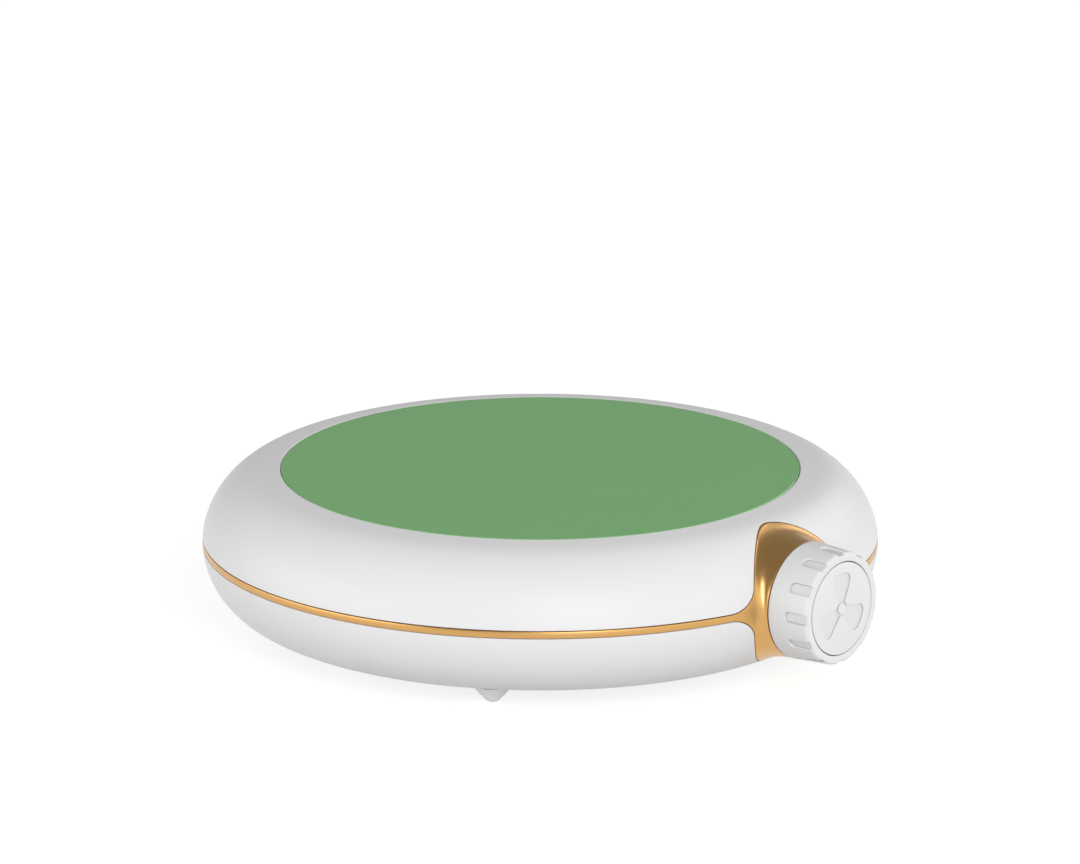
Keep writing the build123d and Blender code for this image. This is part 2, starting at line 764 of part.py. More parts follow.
def heater_leads():
    """Leads that drop from the film into the top of their header, with a little slack."""
    leads = []
    drop = (film_bottom - header_top) / 4
    for x, y in heater_lead_places():
        heights = [film_bottom - drop * step for step in range(5)]
        bows = [0, 0, lead_slack, 0, 0]
        leads.append(lead([(x, y + bow, z) for bow, z in zip(bows, heights)]))
    return leads


def sensor_leads():
    """Leads from the sensor's bead back and down into the top of their header."""
    leads = []
    top = film_bottom - bead_drop
    for side in (-1, 1):
        x = sensor_header + side * sensor_pitch / 2
        route = [(x, bead_reach, top), (x, bead_reach, top - lead_run / 2)]
        route += [(x, header_middle, header_top + lead_run / 2), (x, header_middle, header_top)]
        leads.append(lead(route))
    return leads


def motor_leads():
    """Leads from the motor's tabs into the front of their header."""
    leads = []
    start = math.sqrt(motor_radius**2 - tab_side**2) + tab_size[1]
    start_z = tab_z + tab_size[2] / 2
    for side in (-1, 1):
        near = side * tab_side
        far = motor_header + side * lead_pitch
        route = [(near, start, start_z), (near, start + lead_run, start_z)]
        route += [(far, header_front - lead_run, entry_z), (far, header_front, entry_z)]
        leads.append(lead(route))
    return leads


def control_leads():
    """Three leads from the control's pins down to the floor, round the motor and up to their header."""
    leads = []
    start = -(housing_back - pin_length)
    pin_z = parting_z - pin_drop
    low = floor_z + lead_radius + end_gap
    clear = bracket_reach + post_radius + 2.5 * lead_pitch  # sideways, past the bracket's post
    for lane in (-1, 0, 1):
        pin = lane * pin_pitch
        shift = lane * lead_pitch
        side = clear + shift
        plug = control_header + shift
        route = [
            (pin, start, pin_z),
            (pin, start + lead_run, pin_z),
            (side, -side, low),
            (side, motor_radius, low),
            ((side + plug) / 2, header_front - 2 * lead_run + shift / 2, (low + entry_z) / 2),
            (plug, header_front - lead_run + shift / 2, entry_z),
            (plug, header_front, entry_z),
        ]
        leads.append(lead(route))
    return leads


def fastened(kind, places, level):
    """One screw of a kind at each place, its head on top of a level."""
    return group(Pos(x, y, level) * screw(kind) for x, y in places)


def main():
    os.makedirs("parts", exist_ok=True)
    case_places = around(case_screw_count, boss_circle, 45)
    bracket_places = [(-bracket_reach, 0), (bracket_reach, 0)]
    motor_places = [(0, -motor_screw_reach), (0, motor_screw_reach)]
    turned_over = Rot(180, 0, 0)
    magnet = rod(magnet_radius, carrier_top - magnet_thickness, carrier_top)
    nodes = {
        "upper_shell": upper_shell(),
        "lower_shell": lower_shell(),
        "trim_ring": trim_ring(),
        "feet": group(foot_solids()),
        "case_screws": group(Pos(x, y, screw_seat) * turned_over * screw(case_screw) for x, y in case_places),
        "glass_plate": glass_plate(),
        "plate_gasket": ring(ledge_radius, plate_radius, ledge_top, plate_bottom),
        "heat_spreader": rod(spreader_radius, spreader_bottom, plate_bottom),
        "heating_film": ring(film_hole, film_radius, film_bottom, spreader_bottom),
        "insulation_pad": insulation_pad(),
        "thermistor": thermistor(),
        "thermal_fuse": thermal_fuse(),
        "motor_body": motor_body(),
        "motor_tabs": group(motor_tabs()),
        "motor_damper": rod(motor_radius, floor_z, motor_bottom),
        "motor_bracket": motor_bracket(),
        "bracket_screws": fastened(bracket_screw, bracket_places, bracket_top),
        "motor_screws": fastened(motor_screw, motor_places, bracket_top),
        "motor_shaft": rod(motor_shaft_radius, shaft_bottom, motor_shaft_top),
        "magnet_carrier": magnet_carrier(),
        "stir_magnets": group(Pos(x, y, 0) * magnet for x, y in magnet_places()),
        "control_housing": control_housing(),
        "control_bush": control_bush(),
        "control_nut": control_nut(),
        "control_pins": group(control_pins()),
        "control_shaft": control_shaft(),
        "knob": knob(),
        "knob_cap": knob_cap(),
        "control_board": control_board(),
        "board_screws": fastened(board_screw, board_screw_places, board_top),
        "usb_socket": usb_socket(),
        "usb_tongue": usb_tongue(),
        "controller_chip": block(chip_size, on_board(chip_place), board_top),
        "power_choke": power_choke(),
        "capacitors": group(capacitor(place) for place in capacitor_places),
        "power_transistors": group(power_transistors()),
        "board_headers": group(board_headers()),
        "heater_leads": group(heater_leads()),
        "sensor_leads": group(sensor_leads()),
        "motor_leads": group(motor_leads()),
        "control_leads": group(control_leads()),
    }
    for name, shape in nodes.items():
        export_step(shape, f"parts/{name}.step")


main()
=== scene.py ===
import json
import math

import bmesh
import bpy
import numpy as np
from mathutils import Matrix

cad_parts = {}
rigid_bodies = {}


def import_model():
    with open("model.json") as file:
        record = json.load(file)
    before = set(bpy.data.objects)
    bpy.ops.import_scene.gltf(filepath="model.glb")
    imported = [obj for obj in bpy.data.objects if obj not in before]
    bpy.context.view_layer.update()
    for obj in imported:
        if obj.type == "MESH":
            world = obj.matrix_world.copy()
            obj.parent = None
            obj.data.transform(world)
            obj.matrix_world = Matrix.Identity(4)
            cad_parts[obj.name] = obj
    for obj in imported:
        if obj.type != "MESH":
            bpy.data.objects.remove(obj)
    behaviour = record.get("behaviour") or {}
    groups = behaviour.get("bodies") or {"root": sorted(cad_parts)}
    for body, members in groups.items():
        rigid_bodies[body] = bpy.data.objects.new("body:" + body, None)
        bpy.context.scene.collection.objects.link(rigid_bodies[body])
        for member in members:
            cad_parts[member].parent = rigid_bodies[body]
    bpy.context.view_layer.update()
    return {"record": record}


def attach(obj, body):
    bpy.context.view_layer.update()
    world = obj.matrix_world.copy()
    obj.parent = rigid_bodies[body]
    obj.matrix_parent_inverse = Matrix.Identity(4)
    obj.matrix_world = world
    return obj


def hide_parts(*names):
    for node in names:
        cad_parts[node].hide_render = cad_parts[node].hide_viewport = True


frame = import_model()

# Looks of the electric mug warmer. Shapes are worked out in millimetres, in the part's own frame: +Z up,
# the knob towards -Y, the power inlet towards +Y. A "turn" is an angle about the puck's axis from the knob's
# side towards +X, a "reach" is a distance from that axis towards the knob or the inlet, and an "along" is
# the length of skin from the parting plane towards the plate or the base. Names that end in _H are heights
# above the parting plane. Names that end in _Z, and the heights in profiles, count from the table.

MM = 0.001
WELD = 1e-7  # metres
SHARP = 32  # degrees

# ---- Sizes of the casing
PARTING_Z = 18.5
BODY_R = 67.5
BASE_DEPTH = 14.9
BASE_EDGE = 14.4
SHOULDER_H = 14.1
SHOULDER_ROUNDNESS = 1.8  # exponent of the shoulder's superellipse
SHOULDER_R = 55.57
SHOULDER_SHARE = 7 / 8  # of a quarter round
SEAT_R = 51.87
SEAT_EDGE = 0.22
RIM_H = 14.65
RIM_FALL = 0.15  # of the rim towards its edge, as a slope
RIM_END = (-3.7, 0.55)  # way in which the skin comes to the rim, outwards and up
LEDGE_R = 47.57
LEDGE_TOP_H = 11.15
LEDGE_BOTTOM_H = 9.15
WELL_R = 54.07
WALL = 2.2
LEAST_WALL = 0.09  # above the collar
LEAST_FALL = 0.05  # of the wall, for each millimetre of depth, where the skin is upright
SEAM = 0.2
SHELL_EDGE = 0.07
EDGE_ROWS = (0.25, 0.45, 0.7)  # distances from a shell's edge
ROW_GAP = 0.05  # between the well's floor and the nearest inner row
FLOOR_Z = 5.8
BASE_ROWS = (50.0, 44.0, 36.0, 29.0)  # radii on the flat base
FLOOR_ROWS = (14.0, 29.0, 44.0)
LABEL_R = 24.0
LABEL_EDGE = 0.2
LABEL_DEPTH = 0.35
BOSS_CIRCLE = 50.07
UPPER_BOSS = ((1.5, 14.2), (4.0, 14.2), (4.0, 27.6), (0, 27.6), (0, 23.0), (1.5, 23.0))
LOWER_BOSS = (4.0, 4.7, 14.0)  # radius, low and high end, as in the next two
FOOT_BOSS = (4.8, 4.7, 7.0)
FOOT_HOLE = (2.0, 2.0, 8.0)
SCREW_WELL = ((0, 2.6), (3.35, 2.6), (3.35, 3.4), (2.95, 3.8), (2.95, 6.6), (1.65, 6.6), (1.65, 15), (0, 15))
NORMALS_GAP = 0.02  # farthest from the skin of a point that takes the skin's own normal
NORMALS_FROM_TRIM = 0.9  # least distance in height, as in the next
NORMALS_FROM_END = 0.4
NORMALS_ALIKE = 0.75  # least cosine between a point's normal and the skin's

# ---- Sizes of the trim
TRIM_HALF = 0.64
TRIM_DEPTH = 2.6
TRIM_EDGE = 0.06
STRIP_BOW = 0.03
STRIP_START = 12.68  # sideways from the knob's axis
STRIP_LAP = (0.97, 0.995, 0.97)  # shrink of the end that is tucked into the collar
COLLAR_R = 13.6
COLLAR_FILLET = 7.0
COLLAR_BACK = 56.04
COLLAR_FRONT = 67.5
COLLAR_EDGE = 0.05
COLLAR_WALL_BACK = 65.55
POCKET_R = 9.4
BORE_R = 3.55
NECK_R = 11.6
FLARE_START = 0.04  # share of the flare at its first row
FLARE_INWARDS = 0.87  # where the handle of the flare's curve lies, as shares
FLARE_FORWARDS = 0.32

# ---- Sizes of the plate
PLATE_R = 51.75
PLATE_THICKNESS = 3.0
PLATE_CHAMFER = 0.2
PLATE_ROUND = ((0.0, 0.15), (0.03, 0.1), (0.1, 0.03), (0.15, 0.0))  # inwards and down from the top corner
PLATE_ROWS = (40, 20, 0)

# ---- Sizes of the knob
KNOB_R = 11.62
KNOB_TAPER = 0.48
KNOB_BACK = 67.8
KNOB_BACK_EDGE = 0.08
KNOB_FRONT = 76.75
KNOB_EDGE = 0.6
KNOB_HOLLOW = 9.09
KNOB_INSIDE = 74.35
SOCKET_R = 4.6
SOCKET_BACK = 70.45
SHAFT_R = 3.0
FLUTES = 12
FLUTE_R = 11.0  # radius at which a flute's width is taken
FLUTE_HALF = 1.05
FLUTE_FLOOR = 10.69
FLUTE_DEPTH = 0.42
FLUTE_START = 71.55
FLUTE_WALL = 0.08  # width over which a flute's wall goes down
FLUTE_SIDE = math.degrees(FLUTE_HALF / FLUTE_R)
FLUTE_TURNS = (  # first, last and number of the turns beside a flute's middle, in degrees
    (0, FLUTE_SIDE + 0.9, 28),
    (FLUTE_SIDE + 1.6, 180 / FLUTES, 7),
)
KNOB_ROWS = (  # first, last and number of the reaches on the knob's side
    (KNOB_BACK + 0.5, FLUTE_START - 0.15, 8),
    (FLUTE_START - 0.1, FLUTE_START + FLUTE_HALF + 0.1, 26),
    (FLUTE_START + FLUTE_HALF + 0.3, KNOB_FRONT - KNOB_EDGE, 8),
)
CAP_BACK = 75.55
CAP_R = 9.2
CAP_SEAT = 9.42
CAP_EDGE = 0.06
CAP_SHARP = 30  # degrees
FACE_ROWS = (10.3, 10.0, CAP_SEAT + 0.4)
BLADES = 3
BLADE_LENGTH = 7.1
BLADE_ROOT = 0.55
BLADE_WIDENING = 0.408  # slope of a blade's sides
BLADE_ROUND = 1.5
BLADE_DEPTH = 0.3
BLADE_BEVEL = 0.04
CUTTER_ABOVE = 0.5  # how far a cutter stands out of the knob's face
HUB_R = 1.1
HUB_GROOVE = 0.4
HUB_FOOT = 0.1  # below the propeller's floor

# ---- Sizes of the feet and the power inlet
FEET = 3
FOOT_CIRCLE = 51.5
FOOT_NOSE = ((0, 0), (0.34, 0), (0.62, 0.03), (0.9, 0.12), (1.16, 0.26), (1.37, 0.43), (1.52, 0.57))
FOOT_CONE = ((4.1, 3.38), (4.3, 3.5), (4.3, 3.6))
FOOT_STEM = ((2.0, 3.6), (2.0, 7.0), (2.9, 7.0), (2.9, 7.8), (2.6, 8.0), (0, 8.0))
INLET_Z = 12.8
RECESS_FLOOR = 63.9
RECESS_BACK = 62.2
RECESS_WIDTH = 13.2
RECESS_HEIGHT = 7.2
RECESS_ROUND = 0.3
RECESS_OUTSIDE = (0.45, 1.5)  # growth and distance of the cutter's end outside the skin
PAD_HEIGHTS = (1.0, 10.6)  # below the parting plane
PAD_TURNS = (172, 188)
INLET_MOUTH = 63.6
INLET_BACK = 56.3
INLET_WIDTH = 8.94
INLET_HEIGHT = 3.2
INLET_METAL = 0.3
INLET_LIP = ((0, 0.1), (0.06, 0.02), (0.2, 0), (0.4, 0), (0.54, 0.03), (0.6, 0.15))  # insets and setbacks
INLET_FIT = 0.16  # between the inlet's shell and its hole, across both sides
INLET_CUT = (55.0, 64.5)
TONGUE = (  # widths, thicknesses and reaches
    (6.7, 0.7, INLET_BACK + INLET_METAL),
    (6.7, 0.7, INLET_MOUTH - 1.0),
    (6.4, 0.4, INLET_MOUTH - 0.8),
)
CONTACTS = 12
CONTACT_PITCH = 0.5
CONTACT_SIZE = (0.26, 3.6, 0.06)
CONTACT_REACH = 60.3
CONTACT_RISE = 0.36

# ---- Numbers of the finishes
BROAD_SCALE = 60.0  # of the noise that varies the colour
ROUGHNESS_VARY = 0.12
# Painted shade on the knob, as shares of its colour: darkest in a deep gap, then on walls, least on a floor
PAINTED_SHADE_DEPTHS = (0.0, 0.06, 0.45, 0.5, 0.7, 1.0)  # shares of depth for the painted shade in what is sunk, with a half at the floor of what is sunk
PAINTED_SHADE_LEVELS = (1.0, 0.7, 0.7, 0.955, 0.955, 0.35)
PAINTED_SHADE_START = 0.1  # length behind the knob's front edge over which the painted shade on its side sets in

# ---- Floor, light and camera, in metres, degrees and watts
FLOOR_HALF = 6.0
FLOOR_MATTE = 0.65
FLOOR_PALE = 0.35
FLOOR_GLOW = 0.8
SKY = 0.31
LAMP_DISTANCE = 1.5
LAMP_AIM_Z = 0.02
LAMPS = {  # azimuth from -Y towards +X, elevation, width, height, power
    "key": (-37, 22, 0.52, 1.0, 11.1),
    "left": (-127, 10, 2.0, 0.7, 12.8),
    "right": (20, 15, 3.0, 0.9, 9.2),
    "far_right": (78, 28, 1.4, 0.8, 5.6),
}
CAMERA_PLACE = (-1.1701, -0.9938, 0.46997)
CAMERA_DOWN = 15.6406
CAMERA_TURN = -49.656
CAMERA_LENS = 266.67
CAMERA_SENSOR = 36.0


# ---- Meshes


def piece(name, points, faces, body, slot, nodes=(), sharp=SHARP):
    """Object of points in millimetres that rides a body and may stand for CAD nodes."""
    mesh = bpy.data.meshes.new(name)
    mesh.from_pydata((np.asarray(points, float) * MM).tolist(), [], faces)
    obj = bpy.data.objects.new(name, mesh)
    bpy.context.scene.collection.objects.link(obj)
    clean(obj, sharp)
    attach(obj, body)
    if nodes:
        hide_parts(*nodes)
    return obj


def clean(obj, sharp=SHARP):
    """Welds doubled points, turns all faces outwards and shades smooth, but for edges over an angle."""
    form = bmesh.new()
    form.from_mesh(obj.data)
    bmesh.ops.remove_doubles(form, verts=form.verts, dist=WELD)
    bmesh.ops.dissolve_degenerate(form, edges=form.edges, dist=WELD)
    bare = [edge for edge in form.edges if not edge.link_faces]
    bmesh.ops.delete(form, geom=bare, context="EDGES")
    bmesh.ops.recalc_face_normals(form, faces=form.faces)
    form.to_mesh(obj.data)
    form.free()
    obj.data.shade_smooth()
    obj.data.set_sharp_from_angle(angle=math.radians(sharp))


def lattice(rows, wrap=True):
    """Points and quads of rows of points whose columns close on themselves, and whose rows may too."""
    rows = np.array(rows)
    count, columns = rows.shape[:2]
    faces = []
    for i in range(count if wrap else count - 1):
        k = (i + 1) % count
        for j in range(columns):
            m = (j + 1) % columns
            faces.append((i * columns + j, i * columns + m, k * columns + m, k * columns + j))
    return rows.reshape(-1, 3), faces


def tube(rows):
    """Points and faces of a tube through rows of points, closed at both ends."""
    points, faces = lattice(rows, wrap=False)
    count = len(rows[0])
    faces.append(tuple(range(count)))
    faces.append(tuple(range(len(points) - count, len(points))))
    return points, faces


def combine(*parts):
    """Several sets of points and faces as one."""
    points, faces, offset = [], [], 0
    for some, quads in parts:
        points.append(np.asarray(some, float))
        faces += [tuple(i + offset for i in quad) for quad in quads]
        offset += len(some)
    return np.vstack(points), faces


def turned(profile, columns, centre=(0.0, 0.0)):
    """Points and quads of a closed profile of radii and heights, turned about an upright axis."""
    turns = np.arange(columns) * 2 * math.pi / columns
    rows = []
    for radius, height in profile:
        x = centre[0] + radius * np.sin(turns)
        y = centre[1] - radius * np.cos(turns)
        rows.append(np.stack([x, y, np.full(columns, height)], 1))
    return lattice(rows)


def cylinder(radius, low, high, place, columns=40):
    """Points and quads of an upright cylinder at a place."""
    return turned([(0, low), (radius, low), (radius, high), (0, high)], columns, place)


def about_knob(rows, turns):
    """Points and quads of rows about the knob's axis, each a radius and a reach, or those of each turn."""
    placed = []
    for radii, reach in rows:
        reaches = np.broadcast_to(reach, turns.shape)
        placed.append(np.stack([radii * np.cos(turns), -reaches, PARTING_Z + radii * np.sin(turns)], 1))
    return lattice(placed)


def rounding(radius, steps=4):
    """Steps of a quarter round, as distance from the edge and depth below the face, from wall to face."""
    angles = np.linspace(0, math.pi / 2, steps + 1)
    return [(radius * (1 - math.cos(a)), radius * (1 - math.sin(a))) for a in angles]


def cut(obj, parts, operation):
    """Joins closed meshes to an object, or cuts them from it, exactly."""
    points, faces = combine(*parts)
    mesh = bpy.data.meshes.new("tool")
    mesh.from_pydata((points * MM).tolist(), [], faces)
    tool = bpy.data.objects.new("tool", mesh)
    bpy.context.scene.collection.objects.link(tool)
    clean(tool)
    modifier = obj.modifiers.new("cut", "BOOLEAN")
    modifier.operation = operation
    modifier.solver = "EXACT"
    modifier.object = tool
    graph = bpy.context.evaluated_depsgraph_get()
    result = bpy.data.meshes.new_from_object(obj.evaluated_get(graph))
    obj.modifiers.clear()
    obj.data = result
    bpy.data.objects.remove(tool)
    bpy.data.meshes.remove(mesh)


# ---- The casing's skin


def meridian(way, steps=500, bend_steps=120):
    """Radii and heights of the skin from the parting plane to the plate's well or to the flat base."""
    angles = np.linspace(0, 1, steps) * math.pi / 2
    if way < 0:
        return BODY_R - BASE_EDGE * (1 - np.cos(angles)), BASE_DEPTH * np.sin(angles)
    angles *= SHOULDER_SHARE
    power = 2 / SHOULDER_ROUNDNESS
    radii = SHOULDER_R + (BODY_R - SHOULDER_R) * np.cos(angles) ** power
    heights = SHOULDER_H * np.sin(angles) ** power
    start = np.array([radii[-1], heights[-1]])
    end = np.array([SEAT_R, RIM_H])
    reach = np.linalg.norm(end - start)
    leave = start - [radii[-2], heights[-2]]
    leave *= reach / np.linalg.norm(leave)
    arrive = np.array(RIM_END)
    arrive *= reach / np.linalg.norm(arrive)
    t = np.linspace(0, 1, bend_steps)[1:, None]
    bend = (2 * t**3 - 3 * t**2 + 1) * start + (t**3 - 2 * t**2 + t) * leave
    bend += (3 * t**2 - 2 * t**3) * end + (t**3 - t**2) * arrive
    return np.append(radii, bend[:, 0]), np.append(heights, bend[:, 1])


class Skin:
    """The skin above (way 1) or below (way -1) the parting plane, by turn and length along it."""

    def __init__(self, way):
        self.way = way
        self.radii, self.heights = meridian(way)
        steps = np.hypot(np.diff(self.radii), np.diff(self.heights))
        self.alongs = np.append(0, np.cumsum(steps))
        self.length = self.alongs[-1]
        rise = np.gradient(self.heights, self.alongs)
        fall = -np.gradient(self.radii, self.alongs)
        size = np.hypot(rise, fall)
        self.out, self.up = rise / size, fall / size

    def radius(self, height):
        """Radius at a height above or below the parting plane."""
        return np.interp(np.abs(height), self.heights, self.radii)

    def along(self, height):
        """Length of skin up or down to a height."""
        return np.interp(np.abs(height), self.heights, self.alongs)

    def point(self, turn, along, depth=0.0):
        """Points on the skin, or at a depth below it."""
        out = np.interp(along, self.alongs, self.out)
        up = np.interp(along, self.alongs, self.up)
        radius = np.interp(along, self.alongs, self.radii) - depth * out
        height = np.interp(along, self.alongs, self.heights) - depth * up
        return np.stack([radius * np.sin(turn), -radius * np.cos(turn), PARTING_Z + self.way * height], -1)


UPPER, LOWER = Skin(1), Skin(-1)


def skin_radius(height):
    """Radius of the whole skin at heights above the parting plane, or below it where they are negative."""
    return np.where(height >= 0, UPPER.radius(height), LOWER.radius(height))


def half_outline(gap, circle_steps=44, fillet_steps=26):
    """The line between trim and shell above the parting plane, in front and to one side of the knob's axis.

    It is given as sideways places and heights, from the top of the collar's circle down through the concave
    fillet to where the strip begins. A gap moves it away from the trim.
    """
    circle, bend, level = COLLAR_R + gap, COLLAR_FILLET - gap, TRIM_HALF + gap
    centre = (math.sqrt((circle + bend) ** 2 - (level + bend) ** 2), level + bend)
    touch = math.atan2(centre[1], centre[0])
    a = np.linspace(math.pi / 2, touch, circle_steps)
    b = np.linspace(math.pi + touch, 1.5 * math.pi, fillet_steps)[1:]
    x = np.append(circle * np.cos(a), centre[0] + bend * np.cos(b))
    h = np.append(circle * np.sin(a), centre[1] + bend * np.sin(b))
    return x, h


def shell_edge(skin, strip_steps=110):
    """Turns and alongs of a shell's edge beside the trim, once round, and the ways away from the trim."""
    x, h = half_outline(SEAM)
    turns = np.arcsin(x / skin.radius(h))
    rest = np.linspace(turns[-1], math.pi, strip_steps)[1:]
    turns = np.append(turns, rest)
    heights = np.append(h, np.full(len(rest), h[-1]))
    alongs = skin.along(heights)
    radii = skin.radius(heights)
    across = np.gradient(turns) * radii
    down = np.gradient(alongs)
    down[0] = down[-1] = 0.0
    size = np.hypot(across, down)
    away = np.stack([-down / size / radii, across / size], 1)
    back = slice(-2, 0, -1)
    turns = np.append(turns, -turns[back])
    alongs = np.append(alongs, alongs[back])
    away = np.vstack([away, away[back] * [-1, 1]])
    return turns, alongs, away


def shell_rows(skin, skin_steps=38):
    """Outer rows of a shell from its rounded edge to the end of the skin, and the inner rows back."""
    turns, alongs, away = shell_edge(skin)
    edge = rounding(SHELL_EDGE) + [(d, 0.0) for d in EDGE_ROWS]
    marks = [(turns + d * away[:, 0], alongs + d * away[:, 1], depth) for d, depth in edge]
    last_turns, last_alongs, _ = marks[-1]
    for share in np.linspace(0, 1, skin_steps)[1:]:
        marks.append((last_turns, last_alongs + share * (skin.length - last_alongs), 0.0))
    outer = [skin.point(*mark) for mark in marks]
    inner = []
    for turn, along, _ in marks[::-1]:
        flat = skin.point(turn, along)
        deep = skin.point(turn, along, 1.0)
        fall = np.abs(flat[:, 2] - deep[:, 2])
        height = np.abs(flat[:, 2] - PARTING_Z)
        roof = np.sqrt(np.clip((COLLAR_R + SEAM) ** 2 - flat[:, 0] ** 2, 0, None))
        front = (flat[:, 1] < 0) & (np.abs(flat[:, 0]) < COLLAR_R + SEAM)
        room = np.where(front, (height - roof) / np.maximum(fall, LEAST_FALL), WALL)
        inner.append(skin.point(turn, along, np.clip(room, LEAST_WALL, WALL)))
    return outer, inner


def level_row(like, radius, height):
    """Row of points straight inwards of another row, at a radius and a height above the parting plane."""
    turns = np.arctan2(like[:, 0], -like[:, 1])
    level = np.full(len(turns), PARTING_Z + height)
    return np.stack([radius * np.sin(turns), -radius * np.cos(turns), level], 1)


def outside(rows, radius):
    """The rows whose points all lie outside a radius."""
    return [row for row in rows if np.hypot(row[:, 0], row[:, 1]).min() > radius]


def boss_places():
    """Places of the screws that close the casing."""
    side = BOSS_CIRCLE / math.sqrt(2)
    return [(x, y) for x in (-side, side) for y in (-side, side)]


def foot_places():
    """Places of the feet, one of them under the power inlet."""
    turns = [math.radians(90 + 360 / FEET * i) for i in range(FEET)]
    return [(FOOT_CIRCLE * math.cos(a), FOOT_CIRCLE * math.sin(a)) for a in turns]


def upper_shell():
    """Upper casing with the plate's well and the bosses for the case screws."""
    outer, inner = shell_rows(UPPER)
    last = outer[-1]
    places = [(SEAT_R + d, RIM_H - depth - RIM_FALL * d) for d, depth in rounding(SEAT_EDGE)[::-1]]
    places += [(SEAT_R, LEDGE_TOP_H), (LEDGE_R, LEDGE_TOP_H)]
    places += [(LEDGE_R, LEDGE_BOTTOM_H), (WELL_R, LEDGE_BOTTOM_H)]
    rows = outer[:-1] + [level_row(last, *place) for place in places]
    rows += outside(inner, WELL_R + ROW_GAP)
    bosses = [turned(UPPER_BOSS, columns=40, centre=place) for place in boss_places()]
    piece("upper_casing", *combine(lattice(rows), *bosses), "casing", "white_shell", ["upper_shell"])


def slot_line(width, height, steps=16):
    """Sideways places and heights round a slot with round ends, once round."""
    radius = height / 2
    a = np.linspace(-math.pi / 2, math.pi / 2, steps)
    x = width / 2 - radius + radius * np.cos(a)
    h = radius * np.sin(a)
    return np.append(x, -x), np.append(h, -h)


def slot_tube(marks):
    """Closed mesh through slots along +Y at the inlet's height, each a width, a height and a reach."""
    rows = []
    for width, height, reach in marks:
        x, h = slot_line(width, height)
        rows.append(np.stack([x, np.full(len(x), reach), INLET_Z + h], 1))
    return tube(rows)


def recess_cutter():
    """Room of the power inlet's recess: a slot whose mouth widens in a small round at the skin."""
    x, h = slot_line(RECESS_WIDTH, RECESS_HEIGHT)
    rows = [np.stack([x, np.full(len(x), RECESS_FLOOR), INLET_Z + h], 1)]
    grow_outside, distance = RECESS_OUTSIDE
    for grow, depth in rounding(RECESS_ROUND, steps=5) + [(grow_outside, -distance)]:
        x, h = slot_line(RECESS_WIDTH + 2 * grow, RECESS_HEIGHT + 2 * grow)
        height = INLET_Z + h - PARTING_Z
        reach = np.sqrt(np.clip(LOWER.radius(np.minimum(height, 0)) ** 2 - x**2, 0, None))
        rows.append(np.stack([x, reach - depth, INLET_Z + h], 1))
    return tube(rows)


def inlet_pad(along_steps=12, turn_steps=13):
    """Thick place of the casing's wall that the power inlet's recess is sunk into."""
    alongs = np.linspace(*LOWER.along(PAD_HEIGHTS), along_steps)
    rows = []
    for turn in np.radians(np.linspace(*PAD_TURNS, turn_steps)):
        outer = LOWER.point(turn, alongs, WALL / 2)
        back = [RECESS_BACK * math.sin(turn), -RECESS_BACK * math.cos(turn)]
        rows.append(np.vstack([outer, [[*back, outer[-1][2]], [*back, outer[0][2]]]]))
    return tube(rows)


def skin_normals(obj, skin):
    """Gives loops that lie on a skin the skin's own normals, so that cuts leave no mark in its shading."""
    mesh = obj.data
    count = len(mesh.loops)
    normals = np.zeros(count * 3, np.float32)
    mesh.corner_normals.foreach_get("vector", normals)
    normals = normals.reshape(-1, 3)
    vertex = np.zeros(count, np.int32)
    mesh.loops.foreach_get("vertex_index", vertex)
    points = np.zeros(len(mesh.vertices) * 3, np.float32)
    mesh.vertices.foreach_get("co", points)
    points = points.reshape(-1, 3)[vertex] / MM
    radius = np.hypot(points[:, 0], points[:, 1])
    height = np.abs(points[:, 2] - PARTING_Z)
    out = np.interp(height, skin.heights, skin.out) / radius.clip(1)
    up = np.interp(height, skin.heights, skin.up)
    exact = np.stack([out * points[:, 0], out * points[:, 1], skin.way * up], 1)
    near = np.abs(radius - skin.radius(height)) < NORMALS_GAP
    near &= height > TRIM_HALF + NORMALS_FROM_TRIM
    near &= height < skin.heights.max() - NORMALS_FROM_END
    near &= (exact * normals).sum(1) > NORMALS_ALIKE
    normals[near] = exact[near]
    mesh.normals_split_custom_set(normals.tolist())


def lower_shell():
    """Lower casing with the label's recess, the screws' wells, the feet's holes and the inlet's recess."""
    outer, inner = shell_rows(LOWER)
    low, floor_h = -BASE_DEPTH, FLOOR_Z - PARTING_Z
    label = low + LABEL_DEPTH
    places = [(radius, low) for radius in (*BASE_ROWS, LABEL_R + LABEL_EDGE)]
    places += [(LABEL_R, low + LABEL_EDGE), (LABEL_R, label), (FLOOR_ROWS[0], label), (0.0, label)]
    places += [(radius, floor_h) for radius in (0.0, *FLOOR_ROWS)]
    rows = outer + [level_row(outer[-1], *place) for place in places] + outside(inner, BASE_ROWS[0])
    obj = piece("lower_casing", *lattice(rows), "casing", "white_shell", ["lower_shell"])
    added = [cylinder(*LOWER_BOSS, place) for place in boss_places()]
    added += [cylinder(*FOOT_BOSS, place) for place in foot_places()]
    cut(obj, added + [inlet_pad()], "UNION")
    cut(obj, [recess_cutter()], "DIFFERENCE")
    removed = [turned(SCREW_WELL, columns=48, centre=place) for place in boss_places()]
    removed += [cylinder(*FOOT_HOLE, place) for place in foot_places()]
    way_in = (INLET_WIDTH + INLET_FIT, INLET_HEIGHT + INLET_FIT)
    removed.append(slot_tube([(*way_in, end) for end in INLET_CUT]))
    cut(obj, removed, "DIFFERENCE")
    clean(obj)
    skin_normals(obj, LOWER)


# ---- Trim


